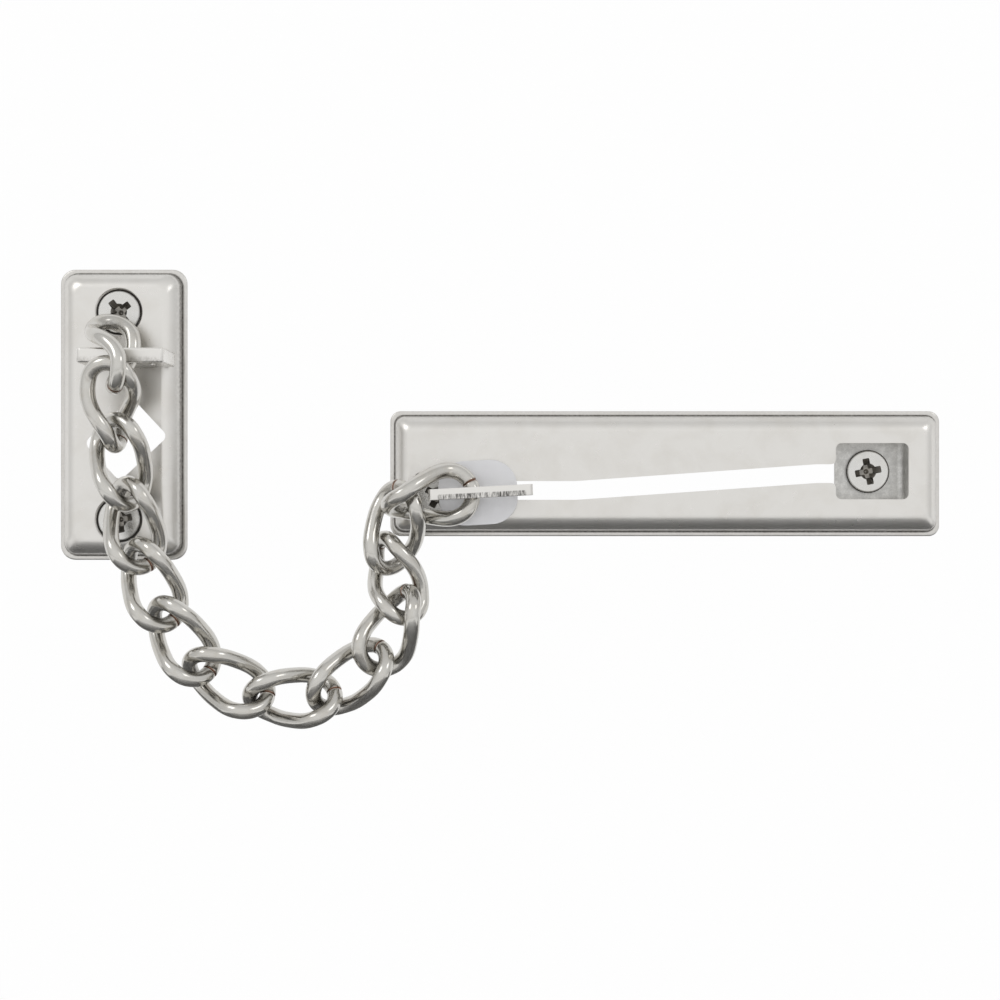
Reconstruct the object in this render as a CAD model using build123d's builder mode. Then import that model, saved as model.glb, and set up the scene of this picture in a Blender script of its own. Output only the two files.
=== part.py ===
from build123d import *

import os
from math import asin, cos, pi, radians, sin, tan

# Door chain: a holder plate for the door frame, a track plate for the door, and a curb chain between them.
# Millimetres. The wall is the plane y = 0 and the viewer stands on -Y, with X to the right and Z up.
# The origin is the centre of the holder plate, on the wall.

# Pressed plates: a sheet pan with a flat rim on the wall
SHEET = 1.0
FACE_HEIGHT = 5.0
RIM = 0.9
SHOULDER = 2.0
SIDE_TAPER = 20

HOLDER_WIDTH = 24.0
HOLDER_HEIGHT = 55.0
HOLDER_CORNER = 2.8

TRACK_LENGTH = 104.0
TRACK_HEIGHT = 23.7
TRACK_CORNER = 2.0

# Countersunk screws
HEAD_DIAMETER = 8.1
HEAD_ANGLE = 82
HEAD_RIM = 0.25
HEAD_SINK = 0.1
SHANK_DIAMETER = 4.0
NECK_DIAMETER = 3.4
NECK_LENGTH = 2.6
SCREW_LENGTH = 25.0
POINT_LENGTH = 5.0
POINT_DIAMETER = 0.8
RECESS_SPAN = 5.0
RECESS_WIDTH = 1.25
RECESS_DEPTH = 1.7
RECESS_TAPER = 9
SCREW_CLEARANCE = 0.15
HOLDER_SCREW_TURN = 37
KEYHOLE_SCREW_TURN = 11
WINDOW_SCREW_TURN = 62

HOLDER_SCREW_INSET = 8.1
HOLDER_SCREW_Z = -0.4
DIMPLE_LIP = 0.3

# Parking hole in the holder plate, a rectangle turned on its corner
PARKING_LENGTH = 12.4
PARKING_WIDTH = 9.9
PARKING_CORNER = 1.3
PARKING_TURN = 43
PARKING_X = 1.3
PARKING_BELOW_LUG = 14.85

# Lug of the holder plate, staked through its face
LUG_WIDTH = 16.0
LUG_THICKNESS = 2.7
LUG_REACH = 10.1
LUG_CORNER = 1.0
EDGE_ROUND = 0.4
LUG_X = 2.6
LUG_BELOW_SCREW = 9.0
LUG_HOLE_WIDTH = 10.0
LUG_HOLE_PLAY = 2.05
LUG_HOLE_CORNER = 2.0
LUG_HOLE_X = 0.4
LUG_BAND = 2.0
TENON_WIDTH = 9.0
TENON_CLEARANCE = 0.1
TENON_HEAD = 0.7
STAKING = 0.4

# Links of round wire, each an oval with a twist of about a quarter turn from end to end
WIRE = 2.85
LINK_INSIDE_LENGTH = 12.65
LINK_PLAY = 2.5
CROWN_PLAY = 0.75
LINK_TWIST = 88
JOINT_GAP = 0.12
JOINT_OFFSET = 1.2
SPANS = 24
TWIST_SOFTENING = 0.4

# How the links lie, from the holder to the slider. Each link leans in the plane of the plates, tilts toward
# the viewer and rolls about its own length, in degrees.
LINK_LEAN = [-74, -88, -80, -79, -68, -57, -28, 0, 38, 63, 111, 78, 11]
LINK_TILT = [39, -22, -2, 1, 1, 1, 0, 1, 1, 3, -13, 14, -3]
LINK_ROLL = [-75, -41, -12, 0, 0, 0, 0, 0, -2, -18, -10, 2, 27]
# What is left open at each joint of two links: along the chain, across it, and in depth.
JOINT_PLAY = [0.8, 1.6, 1.0, 1.3, 1.1, 1.0, 0.1, 0.6, 0.9, 1.8, 2.5, 1.3]
JOINT_SIDE = [-1.7, 0.2, -0.1, 0.2, 0.2, 0.2, -0.2, 0, -0.2, 0, -0.8, -0.5]
JOINT_DEPTH = [1.2, -1.1, 0.6, -0.2, 0, 0.4, 0.7, 0.6, 0, 1.1, -0.5, -1.4]
# The middle of the first link, from the middle of the lug's front band
FIRST_LINK_X = -1.1
FIRST_LINK_FORWARD = 0.2
FIRST_LINK_Z = 0.8

# Slider
SLIDER_LUG_LENGTH = 18.8
SLIDER_LUG_X = 0.6
SLIDER_LUG_THICKNESS = 2.0
SLIDER_LUG_CORNER = 0.8
SLIDER_HOLE_PLAY = 2.75
SLIDER_HOLE_SETBACK = -0.1
SLIDER_BAND = 1.5
SLIDER_DROP = 0.5
SLIDER_AHEAD = 0.9
SLIDER_TILT = 3.0
NECK_WIDTH = 4.0
NECK_HEAD = 0.4
COLLAR_WIDTH = 14.7
COLLAR_HEIGHT = 12.0
COLLAR_CORNER = 5.0
COLLAR_THICKNESS = 1.2
BACKPLATE_WIDTH = 11.0
BACKPLATE_HEIGHT = 8.6
BACKPLATE_CORNER = 1.5
BACKPLATE_THICKNESS = 1.0
RUNNING_GAP = 0.2

# Slot of the track, which rises to a keyhole, and the window of the hidden screw. Insets are from the ends of
# the track plate.
SLOT_HEIGHT = 3.5
SLOT_INSET = 14.4
SLOT_LOW_Z = -3.2
SLOT_LEVEL = 20.6
SLOT_CREST = 10.3
SLOT_RISE = 4.0
SLOT_END_GAP = 0.3
KEYHOLE_WIDTH = 13.6
KEYHOLE_HEIGHT = 10.5
KEYHOLE_CORNER = 1.1
KEYHOLE_INSET = 13.7
KEYHOLE_RAISE = 0.45
WINDOW_WIDTH = 8.5
WINDOW_HEIGHT = 8.5
WINDOW_BRIDGE = 1.1
WINDOW_LOWER = 0.9
NECK_LOWER = 0.42

# Sunken pads under the keyhole and the window, lanced from the same sheet
PAD_FRONT = 1.1
PAD_MARGIN = 0.1
PAD_HEAD_PROUD = 0.7

os.makedirs("parts", exist_ok=True)


def wall_plane(x, z):
    """Plane on the wall at a place, facing the viewer, with X to the right and Z up."""
    return Plane(origin=(x, 0, z), x_dir=(1, 0, 0), z_dir=(0, -1, 0))


def raised_block(base, width, height, corner, depth, rounding):
    """Tapered block on the wall with a rounded front edge."""
    with BuildPart() as block:
        with BuildSketch(base):
            RectangleRounded(width, height, corner)
        extrude(amount=depth, taper=SIDE_TAPER)
        fillet(block.faces().sort_by(Axis.Y)[0].edges(), rounding)
    return block.part


def pressed_pan(base, width, height, corner):
    """Raised sheet pan with a flat rim, open to the wall."""
    foot_width = width - 2 * RIM
    foot_height = height - 2 * RIM
    outside = raised_block(base, foot_width, foot_height, corner, FACE_HEIGHT, SHOULDER)
    inside = raised_block(
        base,
        foot_width - 2 * SHEET,
        foot_height - 2 * SHEET,
        corner - SHEET,
        FACE_HEIGHT - SHEET,
        SHOULDER - SHEET,
    )
    with BuildPart() as pan:
        with BuildSketch(base):
            RectangleRounded(width, height, corner)
        extrude(amount=SHEET)
        add(outside)
        add(inside, mode=Mode.SUBTRACT)
    return pan.part


HEAD_SLOPE = tan(radians(HEAD_ANGLE / 2))


def seat_radius(proud):
    """Radius of a screw's seat in a surface that the head stands above by the given height."""
    return HEAD_DIAMETER / 2 - (proud - HEAD_RIM) * HEAD_SLOPE + SCREW_CLEARANCE


def countersunk_screw(base, turn):
    """Cross-recess wood screw, the top of its head on the plane and its point behind it."""
    head_radius = HEAD_DIAMETER / 2
    shank_radius = SHANK_DIAMETER / 2
    neck_radius = NECK_DIAMETER / 2
    head_depth = HEAD_RIM + (head_radius - neck_radius) / HEAD_SLOPE
    profile_plane = Plane(origin=base.origin, x_dir=base.x_dir, z_dir=base.y_dir)
    with BuildPart() as screw:
        with BuildSketch(profile_plane):
            with BuildLine():
                Polyline(
                    (0, 0),
                    (head_radius, 0),
                    (head_radius, HEAD_RIM),
                    (neck_radius, head_depth),
                    (neck_radius, head_depth + NECK_LENGTH),
                    (shank_radius, head_depth + NECK_LENGTH),
                    (shank_radius, SCREW_LENGTH - POINT_LENGTH),
                    (POINT_DIAMETER / 2, SCREW_LENGTH),
                    (0, SCREW_LENGTH),
                    close=True,
                )
            make_face()
        revolve(axis=Axis(base.origin, base.z_dir))
        with BuildSketch(base):
            Rectangle(RECESS_SPAN, RECESS_WIDTH, rotation=turn)
            Rectangle(RECESS_WIDTH, RECESS_SPAN, rotation=turn)
        extrude(amount=-RECESS_DEPTH, taper=RECESS_TAPER, mode=Mode.SUBTRACT)
    return screw.part


def flat_edges(lug, limit):
    """Edges round a lug's two flat faces that reach forward of a given depth."""
    flats = lug.faces().filter_by(lambda face: abs(face.normal_at().Z) > cos(radians(2 * SLIDER_TILT)))
    return flats.edges().filter_by(lambda edge: edge.bounding_box().max.Y < limit)


# Holder plate
holder_base = wall_plane(0, 0)
holder_screw_reach = HOLDER_HEIGHT / 2 - HOLDER_SCREW_INSET
holder_screw_heights = [HOLDER_SCREW_Z + holder_screw_reach, HOLDER_SCREW_Z - holder_screw_reach]
holder_seat_radius = seat_radius(-HEAD_SINK)
bore_radius = SHANK_DIAMETER / 2 + SCREW_CLEARANCE
lug_z = holder_screw_heights[0] - LUG_BELOW_SCREW
parking_z = lug_z - PARKING_BELOW_LUG
seat_depth = (holder_seat_radius - bore_radius) / HEAD_SLOPE
dimple_depth = seat_depth - SHEET + DIMPLE_LIP
dimple_radius = holder_seat_radius - SHEET * HEAD_SLOPE + SHEET / cos(radians(HEAD_ANGLE / 2))
holder_pan = pressed_pan(holder_base, HOLDER_WIDTH, HOLDER_HEIGHT, HOLDER_CORNER)

with BuildPart() as holder_plate:
    add(holder_pan)
    with BuildSketch(holder_base.offset(FACE_HEIGHT - SHEET)):
        with Locations(*[(0, height) for height in holder_screw_heights]):
            Circle(dimple_radius)
    extrude(amount=-dimple_depth, taper=HEAD_ANGLE / 2)
    with Locations(*[wall_plane(0, height).offset(FACE_HEIGHT) for height in holder_screw_heights]):
        CounterSinkHole(bore_radius, holder_seat_radius, counter_sink_angle=HEAD_ANGLE)
    with BuildSketch(holder_base.offset(FACE_HEIGHT)):
        with Locations((PARKING_X, parking_z)):
            RectangleRounded(PARKING_LENGTH, PARKING_WIDTH, PARKING_CORNER, rotation=PARKING_TURN)
        with Locations((LUG_X, lug_z)):
            Rectangle(TENON_WIDTH + 2 * TENON_CLEARANCE, LUG_THICKNESS + 2 * TENON_CLEARANCE)
    extrude(amount=-SHEET, mode=Mode.SUBTRACT)

# Holder lug, with a tenon through the face and a staked head behind it
lug_hole_depth = WIRE + LUG_HOLE_PLAY
lug_front = FACE_HEIGHT + LUG_REACH
lug_hole_y = -(lug_front - LUG_BAND - lug_hole_depth / 2)
lug_band_y = -(lug_front - LUG_BAND / 2)

with BuildPart() as holder_lug:
    with BuildSketch(Plane.XY.offset(lug_z - LUG_THICKNESS / 2)) as lug_outline:
        with Locations((LUG_X, -(FACE_HEIGHT + LUG_REACH / 2))):
            Rectangle(LUG_WIDTH, LUG_REACH)
        fillet(lug_outline.vertices().group_by(Axis.Y)[0], LUG_CORNER)
        with Locations((LUG_X, -(FACE_HEIGHT - SHEET / 2))):
            Rectangle(TENON_WIDTH, SHEET)
        with Locations((LUG_X + LUG_HOLE_X, lug_hole_y)):
            RectangleRounded(LUG_HOLE_WIDTH, lug_hole_depth, LUG_HOLE_CORNER, mode=Mode.SUBTRACT)
    extrude(amount=LUG_THICKNESS)
    fillet(flat_edges(holder_lug.part, -(FACE_HEIGHT + SHEET)), EDGE_ROUND)
    with BuildSketch(holder_base.offset(FACE_HEIGHT - SHEET)):
        with Locations((LUG_X, lug_z)):
            Rectangle(TENON_WIDTH + 2 * STAKING, LUG_THICKNESS + 2 * STAKING)
    extrude(amount=-TENON_HEAD)

# Holder screws, a pair
with BuildPart() as holder_screws:
    for height in holder_screw_heights:
        add(countersunk_screw(wall_plane(0, height).offset(FACE_HEIGHT - HEAD_SINK), HOLDER_SCREW_TURN))

# One link: crown arcs at both ends and long side arcs, bent by the twist
crown_x = (LINK_INSIDE_LENGTH + WIRE) / 2
side_y = WIRE + LINK_PLAY / 2
crown_radius = WIRE + CROWN_PLAY
crown_centre = crown_x - crown_radius
side_radius = (crown_centre**2 + side_y**2 - crown_radius**2) / (2 * (side_y - crown_radius))
side_angle = asin(crown_centre / (side_radius - crown_radius))
crown_run = crown_radius * (pi / 2 - side_angle)
quarter_run = crown_run + side_radius * side_angle


def wire_point(run):
    """Point of a link's wire at a distance along it from the far crown."""
    quarter, rest = divmod(run % (4 * quarter_run), quarter_run)
    quarter = int(quarter)
    from_crown = rest if quarter in (0, 2) else quarter_run - rest
    if from_crown < crown_run:
        angle = from_crown / crown_radius
        x = crown_centre + crown_radius * cos(angle)
        y = crown_radius * sin(angle)
    else:
        angle = side_angle - (from_crown - crown_run) / side_radius
        x = side_radius * sin(angle)
        y = side_y - side_radius * (1 - cos(angle))
    if quarter in (1, 2):
        x = -x
    if quarter in (2, 3):
        y = -y
    reach = x / (crown_x - TWIST_SOFTENING * crown_radius)
    twist = -radians(LINK_TWIST / 2) * sin(pi / 2 * max(-1, min(1, reach)))
    return (x, y * cos(twist), y * sin(twist))


wire_run = 4 * quarter_run - JOINT_GAP
wire_start = JOINT_OFFSET + JOINT_GAP / 2

with BuildPart() as link_blank:
    with BuildLine() as link_wire:
        Spline(*[wire_point(wire_start + wire_run * span / SPANS) for span in range(SPANS + 1)])
    with BuildSketch(Plane(origin=link_wire.line @ 0, z_dir=link_wire.line % 0)):
        Circle(WIRE / 2)
    sweep()


def lean_direction(lean):
    """Direction in the plane of the plates at an angle from X."""
    return Vector(cos(radians(lean)), 0, sin(radians(lean)))


# Chain: each link hangs in the one before it, crown inside crown, with the play of their joint
TOWARD_VIEWER = Vector(0, -1, 0)
link_directions = [
    lean_direction(lean) * cos(radians(tilt)) + TOWARD_VIEWER * sin(radians(tilt))
    for lean, tilt in zip(LINK_LEAN, LINK_TILT)
]
link_centres = [
    Vector(LUG_X + FIRST_LINK_X, lug_band_y - FIRST_LINK_FORWARD, lug_z + FIRST_LINK_Z),
]
for joint, (play, side, depth) in enumerate(zip(JOINT_PLAY, JOINT_SIDE, JOINT_DEPTH)):
    before = link_directions[joint]
    after = link_directions[joint + 1]
    along = (before + after).normalized()
    across = Vector(-along.Z, 0, along.X).normalized()
    step = (before + after) * crown_x - along * (WIRE + play) + across * side - TOWARD_VIEWER * depth
    link_centres.append(link_centres[-1] + step)

chain_links = []
for number, (lean, roll, direction, centre) in enumerate(
    zip(LINK_LEAN, LINK_ROLL, link_directions, link_centres), start=1
):
    upright = lean_direction(lean + 90)
    facing = direction.cross(upright)
    link_axis = facing * cos(radians(roll)) - upright * sin(radians(roll))
    with BuildPart() as chain_link:
        with Locations(Plane(origin=centre, x_dir=direction, z_dir=link_axis)):
            add(link_blank.part)
    chain_link.part.label = f"chain_link_{number:02d}"
    chain_links.append(chain_link.part)

# Slider: its lug hangs on the far crown of the last link
chain_end = link_centres[-1] + link_directions[-1] * crown_x
slider_x = chain_end.X + SLIDER_AHEAD
slider_z = chain_end.Z - SLIDER_DROP
slider_right = Vector(cos(radians(SLIDER_TILT)), 0, sin(radians(SLIDER_TILT)))
collar_back = FACE_HEIGHT + RUNNING_GAP
collar_front = collar_back + COLLAR_THICKNESS
backplate_front = FACE_HEIGHT - SHEET - RUNNING_GAP
backplate_back = backplate_front - BACKPLATE_THICKNESS
slider_hole = WIRE + SLIDER_HOLE_PLAY
slider_hole_y = chain_end.Y - SLIDER_HOLE_SETBACK
slider_lug_front = -slider_hole_y + slider_hole / 2 + SLIDER_BAND
slider_face = Plane(origin=(slider_x, 0, slider_z), x_dir=slider_right, z_dir=TOWARD_VIEWER)
slider_level = Plane(origin=(slider_x, 0, slider_z), x_dir=slider_right, z_dir=slider_face.y_dir)

with BuildPart() as slider_lug:
    with BuildSketch(slider_level.offset(-SLIDER_LUG_THICKNESS / 2)) as slider_outline:
        with Locations((SLIDER_LUG_X, -(collar_front + slider_lug_front) / 2)):
            Rectangle(SLIDER_LUG_LENGTH, slider_lug_front - collar_front)
        fillet(slider_outline.vertices(), SLIDER_LUG_CORNER)
        with Locations((0, -(collar_front + backplate_back) / 2)):
            Rectangle(NECK_WIDTH, collar_front - backplate_back)
        with Locations((0, slider_hole_y)):
            Circle(slider_hole / 2, mode=Mode.SUBTRACT)
    extrude(amount=SLIDER_LUG_THICKNESS)
    fillet(flat_edges(slider_lug.part, -(collar_front + SHEET)), EDGE_ROUND)
    with BuildSketch(slider_face.offset(backplate_back)):
        Rectangle(NECK_WIDTH + 2 * STAKING, SLIDER_LUG_THICKNESS + 2 * STAKING)
    extrude(amount=-NECK_HEAD)

with BuildPart() as slider_collar:
    with BuildSketch(slider_face.offset(collar_back)):
        RectangleRounded(COLLAR_WIDTH, COLLAR_HEIGHT, COLLAR_CORNER)
        Rectangle(
            NECK_WIDTH + 2 * TENON_CLEARANCE,
            SLIDER_LUG_THICKNESS + 2 * TENON_CLEARANCE,
            mode=Mode.SUBTRACT,
        )
    extrude(amount=COLLAR_THICKNESS)

with BuildPart() as slider_backplate:
    with BuildSketch(slider_face.offset(backplate_back)):
        RectangleRounded(BACKPLATE_WIDTH, BACKPLATE_HEIGHT, BACKPLATE_CORNER)
        Rectangle(
            NECK_WIDTH + 2 * TENON_CLEARANCE,
            SLIDER_LUG_THICKNESS + 2 * TENON_CLEARANCE,
            mode=Mode.SUBTRACT,
        )
    extrude(amount=BACKPLATE_THICKNESS)

# Track plate: it lies where the slider's neck stands at the low end of its slot
slot_start = -TRACK_LENGTH / 2 + SLOT_INSET
slot_bend = slot_start + SLOT_LEVEL
keyhole_x = TRACK_LENGTH / 2 - KEYHOLE_INSET
slot_crest = keyhole_x - SLOT_CREST
slot_high_z = SLOT_LOW_Z + (slot_crest - slot_bend) * tan(radians(SLOT_RISE))
keyhole_z = slot_high_z + KEYHOLE_RAISE
window_x = slot_start - WINDOW_BRIDGE - WINDOW_WIDTH / 2
window_z = SLOT_LOW_Z - WINDOW_LOWER
neck_rest_x = slot_start + SLOT_END_GAP + NECK_WIDTH / 2
track_x = slider_x - neck_rest_x
track_z = slider_z - SLOT_LOW_Z + NECK_LOWER
track_base = wall_plane(track_x, track_z)
pad_back = PAD_FRONT - SHEET
pad_seat_radius = seat_radius(PAD_HEAD_PROUD)
keyhole_wall_x = keyhole_x + (KEYHOLE_WIDTH + SHEET) / 2
window_wall_x = window_x - (WINDOW_WIDTH + SHEET) / 2
track_pan = pressed_pan(track_base, TRACK_LENGTH, TRACK_HEIGHT, TRACK_CORNER)

with BuildPart() as track_plate:
    add(track_pan)
    with BuildSketch(track_base.offset(FACE_HEIGHT)):
        with BuildLine():
            Polyline(
                (slot_start, SLOT_LOW_Z),
                (slot_bend, SLOT_LOW_Z),
                (slot_crest, slot_high_z),
                (keyhole_x, slot_high_z),
            )
        trace(line_width=SLOT_HEIGHT)
        with Locations((keyhole_x, keyhole_z)):
            RectangleRounded(KEYHOLE_WIDTH, KEYHOLE_HEIGHT, KEYHOLE_CORNER)
        with Locations((window_x, window_z)):
            RectangleRounded(WINDOW_WIDTH, WINDOW_HEIGHT, KEYHOLE_CORNER)
    extrude(amount=-SHEET, mode=Mode.SUBTRACT)
    with BuildSketch(track_base.offset(pad_back)):
        with Locations((keyhole_x + (SHEET + PAD_MARGIN) / 2, keyhole_z)):
            Rectangle(KEYHOLE_WIDTH + SHEET - PAD_MARGIN, KEYHOLE_HEIGHT - 2 * PAD_MARGIN)
        with Locations((window_x - (SHEET + PAD_MARGIN) / 2, window_z)):
            Rectangle(WINDOW_WIDTH + SHEET - PAD_MARGIN, WINDOW_HEIGHT - 2 * PAD_MARGIN)
    extrude(amount=SHEET)
    with BuildSketch(track_base.offset(pad_back)):
        with Locations((keyhole_wall_x, keyhole_z)):
            Rectangle(SHEET, KEYHOLE_HEIGHT - 2 * KEYHOLE_CORNER)
        with Locations((window_wall_x, window_z)):
            Rectangle(SHEET, WINDOW_HEIGHT - 2 * KEYHOLE_CORNER)
    extrude(amount=FACE_HEIGHT - SHEET - pad_back)
    with Locations(
        wall_plane(track_x + keyhole_x, track_z + keyhole_z).offset(PAD_FRONT),
        wall_plane(track_x + window_x, track_z + window_z).offset(PAD_FRONT),
    ):
        CounterSinkHole(bore_radius, pad_seat_radius, counter_sink_angle=HEAD_ANGLE)

# Track screws, one in the keyhole and one in the window
pad_head_top = PAD_FRONT + PAD_HEAD_PROUD
with BuildPart() as track_screws:
    add(
        countersunk_screw(
            wall_plane(track_x + keyhole_x, track_z + keyhole_z).offset(pad_head_top), KEYHOLE_SCREW_TURN
        )
    )
    add(
        countersunk_screw(
            wall_plane(track_x + window_x, track_z + window_z).offset(pad_head_top), WINDOW_SCREW_TURN
        )
    )

holder_plate.part.label = "holder_plate"
holder_lug.part.label = "holder_lug"
holder_screws.part.label = "holder_screws"
slider_lug.part.label = "slider_lug"
slider_collar.part.label = "slider_collar"
slider_backplate.part.label = "slider_backplate"
track_plate.part.label = "track_plate"
track_screws.part.label = "track_screws"

pieces = [
    holder_plate.part,
    holder_lug.part,
    holder_screws.part,
    slider_lug.part,
    slider_collar.part,
    slider_backplate.part,
    track_plate.part,
    track_screws.part,
]
for piece in pieces + chain_links:
    export_step(piece, f"parts/{piece.label}.step")
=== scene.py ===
from math import asin, cos, pi, radians, sin, tan

import bpy
from bpy.props import FloatProperty, FloatVectorProperty, IntProperty, PointerProperty
from mathutils import Matrix, Vector


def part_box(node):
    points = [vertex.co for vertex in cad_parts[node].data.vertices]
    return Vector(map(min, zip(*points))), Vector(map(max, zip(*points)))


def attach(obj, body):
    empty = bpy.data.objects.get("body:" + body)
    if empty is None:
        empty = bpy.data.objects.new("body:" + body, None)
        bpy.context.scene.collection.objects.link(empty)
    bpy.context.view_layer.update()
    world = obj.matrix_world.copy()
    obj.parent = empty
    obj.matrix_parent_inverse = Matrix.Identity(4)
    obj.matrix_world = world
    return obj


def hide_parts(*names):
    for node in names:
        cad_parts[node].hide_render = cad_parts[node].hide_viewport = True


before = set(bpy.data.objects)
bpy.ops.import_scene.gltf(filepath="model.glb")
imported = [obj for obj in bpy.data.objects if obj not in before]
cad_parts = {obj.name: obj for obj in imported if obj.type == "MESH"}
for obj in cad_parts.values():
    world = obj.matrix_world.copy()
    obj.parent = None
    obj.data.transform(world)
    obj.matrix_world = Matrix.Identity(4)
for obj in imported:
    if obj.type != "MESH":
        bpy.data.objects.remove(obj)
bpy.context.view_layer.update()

bl_info = {
    "name": "Door Chain",
    "version": (1, 0, 0),
    "blender": (4, 5, 0),
    "location": "View3D > Sidebar > Door Chain",
    "description": "Models the visible pieces of a surface-mounted door chain around its solid model",
    "category": "Object",
}

# Pieces are modelled in millimetres: X to the right, Z up, the wall at Y = 0 and the viewer on -Y. Each one is
# brought to the frame's metres when it is finished.
MM = 0.001
# The sharpest bend, in degrees, that is still shaded smooth.
SMOOTH_ANGLE = 38
# How much tighter a pressed corner's radius gets for each millimetre inward.
CORNER_SHRINK = 0.25
# How far the steep foot of a pressed side reaches inward.
WALL_WIDTH = 0.35
# The share of the sheet's thickness that a drawn pan keeps.
DRAWN = 0.55
# Level of the lanced pads before the wall.
PAD_LEVEL = 1.1
# Rounding that punching leaves on the sheet's edges.
PUNCHED_EDGE = 0.16

# Openings of the holder plate: heights of its screws, the parking hole for the slider and the slot for the lug.
HOLDER_SCREWS = (19.0, -19.8)
PARKING_CENTRE, PARKING_SIZE, PARKING_CORNER, PARKING_TURN = (1.3, -4.85), (12.4, 9.9), 1.3, 43
TENON_CENTRE, TENON_SIZE = (2.6, 10.0), (9.2, 2.9)
# Openings of the track plate. Distances from its middle: the slot's left end and its bend, and the keyhole.
SLOT_START, SLOT_BEND, KEYHOLE_X = 37.6, 17.0, 38.3
# How far before the keyhole the slot levels out, how low it starts, its slant in degrees and its mouth's rounding.
SLOT_LEVEL, SLOT_DROP, SLOT_SLANT, SLOT_MOUTH = 10.3, 3.2, 4.0, 0.9
# How much higher the keyhole sits than the slot there, and the screw window's gap to the slot and its drop.
KEYHOLE_LIFT, WINDOW_GAP, WINDOW_DROP = 0.45, 1.1, 4.1
# The slider's collar before the track and its plate behind the slot: width and height, corner and thickness.
COLLAR_SIZE, COLLAR_CORNER, COLLAR_THICKNESS = (14.7, 12.0), 5.0, 1.2
BACKPLATE_SIZE, BACKPLATE_CORNER, BACKPLATE_THICKNESS = (11.0, 8.6), 1.5, 1.0

# How the links lie, from the holder to the slider: lean in the plane of the plates, tilt toward the viewer and
# roll about the link's own length, in degrees.
LINK_LEAN = [-74, -88, -80, -79, -68, -57, -28, 0, 38, 63, 111, 78, 11]
LINK_TILT = [39, -22, -2, 1, 1, 1, 0, 1, 1, 3, -13, 14, -3]
LINK_ROLL = [-75, -41, -12, 0, 0, 0, 0, 0, -2, -18, -10, 2, 27]
# What is left open at each joint of two links: along the chain, across it, and in depth.
JOINT_PLAY = [0.8, 1.6, 1.0, 1.3, 1.1, 1.0, 0.1, 0.6, 0.9, 1.8, 2.5, 1.3]
JOINT_SIDE = [-1.7, 0.2, -0.1, 0.2, 0.2, 0.2, -0.2, 0, -0.2, 0, -0.8, -0.5]
JOINT_DEPTH = [1.2, -1.1, 0.6, -0.2, 0, 0.4, 0.7, 0.6, 0, 1.1, -0.5, -1.4]
FIRST_LINK = (1.5, -14.3, 10.8)
# How far each link's shoulders stand out, as a share of the chain's fullness.
FULLNESS = [0, 0.2, 1, 1, 1, 1, 1, 1, 1, 1, 0.2, 1, 1]
# Where the wire's butt joint lies in a link: its run from the far crown.
BUTT_JOINT = 1.2


def linear(hex_colour):
    """Linear red, green, blue and alpha of an sRGB hex colour."""
    parts = [int(hex_colour[place:place + 2], 16) / 255 for place in (0, 2, 4)]
    return [part / 12.92 if part <= 0.04045 else ((part + 0.055) / 1.055) ** 2.4 for part in parts] + [1.0]


def size(name, description, default, **unit):
    """Measure that a user can change."""
    return FloatProperty(name=name, description=description, default=default, **unit)


class PlateSizes(bpy.types.PropertyGroup):
    sheet: size("Sheet", "Thickness of the pressed sheet, in millimetres", 1.0)
    face: size("Face", "Height of a plate's face above the wall", 5.0)
    rim: size("Rim", "Width of the flat rim at the foot of the side", 0.9)
    shoulder: size("Shoulder", "Outside radius of the pressed shoulder", 2.0)
    taper: size("Taper", "Lean of the pressed side, in degrees", 20.0)
    holder_corner: size("Holder Corner", "Corner radius of the holder plate", 2.8)
    track_corner: size("Track Corner", "Corner radius of the track plate", 2.0)
    slot: size("Slot", "Height of the slider's slot", 3.5)
    keyhole_width: size("Keyhole Width", "Width of the keyhole", 13.6)
    keyhole_height: size("Keyhole Height", "Height of the keyhole", 10.5)
    window: size("Window", "Side of the screw window behind the slider", 8.5)
    corner: size("Opening Corner", "Corner radius of keyhole and window", 1.1)


class ChainSizes(bpy.types.PropertyGroup):
    wire: size("Wire", "Diameter of the links' wire, in millimetres", 2.85)
    inside: size("Inside Length", "Length inside one link", 12.65)
    play: size("Play", "Width inside a link beyond the wire that passes", 2.5)
    crown: size("Crown Play", "What a crown's bend has beyond the wire", 0.75)
    twist: size("Twist", "Twist of a link from end to end, in degrees", 88.0)
    fullness: size("Fullness", "How much the shoulders of a link stand out", 0.2)
    full_span: size("Full Span", "Length over which the shoulders stand out", 10.0)
    rings: IntProperty(name="Rings", description="Rings of faces along one link", default=112, min=48)


class ScrewSizes(bpy.types.PropertyGroup):
    head: size("Head", "Diameter of the countersunk head, in millimetres", 8.1)
    angle: size("Head Angle", "Angle of the countersink, in degrees", 82.0)
    shank: size("Shank", "Diameter over the thread", 4.0)
    neck: size("Neck", "Diameter of the plain neck under the head", 3.4)
    root: size("Root", "Diameter at the root of the thread", 2.9)
    length: size("Length", "Length from the top of the head to the point", 25.0)
    pitch: size("Pitch", "Pitch of the wood thread", 1.8)
    recess: size("Recess", "Span of the cross recess", 5.0)


def colour_setting(name, description, hex_colour):
    """Colour that a user can change, with its sRGB default."""
    return FloatVectorProperty(
        name=name, description=description, subtype="COLOR", size=4, min=0, max=1, default=linear(hex_colour))


class FinishColours(bpy.types.PropertyGroup):
    plate: colour_setting("Plate", "Satin nickel of the pressed plates", "dedcd8")
    link: colour_setting("Link", "Bright nickel of the wire links", "c9c7c2")
    stain: colour_setting("Stain", "Warm film on worn nickel", "b3ab9d")
    # Painted shade as well as soiling: this dark colour is painted into the plates' creases, the groove round each
    # screw head, where the lugs meet the plates and inside the links' crowns.
    grime_and_shade: colour_setting("Grime", "Dark dirt in creases and where links rub", "332f2a")
    rust: colour_setting("Rust", "Brown of the unplated butt joints", "6b4a36")


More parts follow.
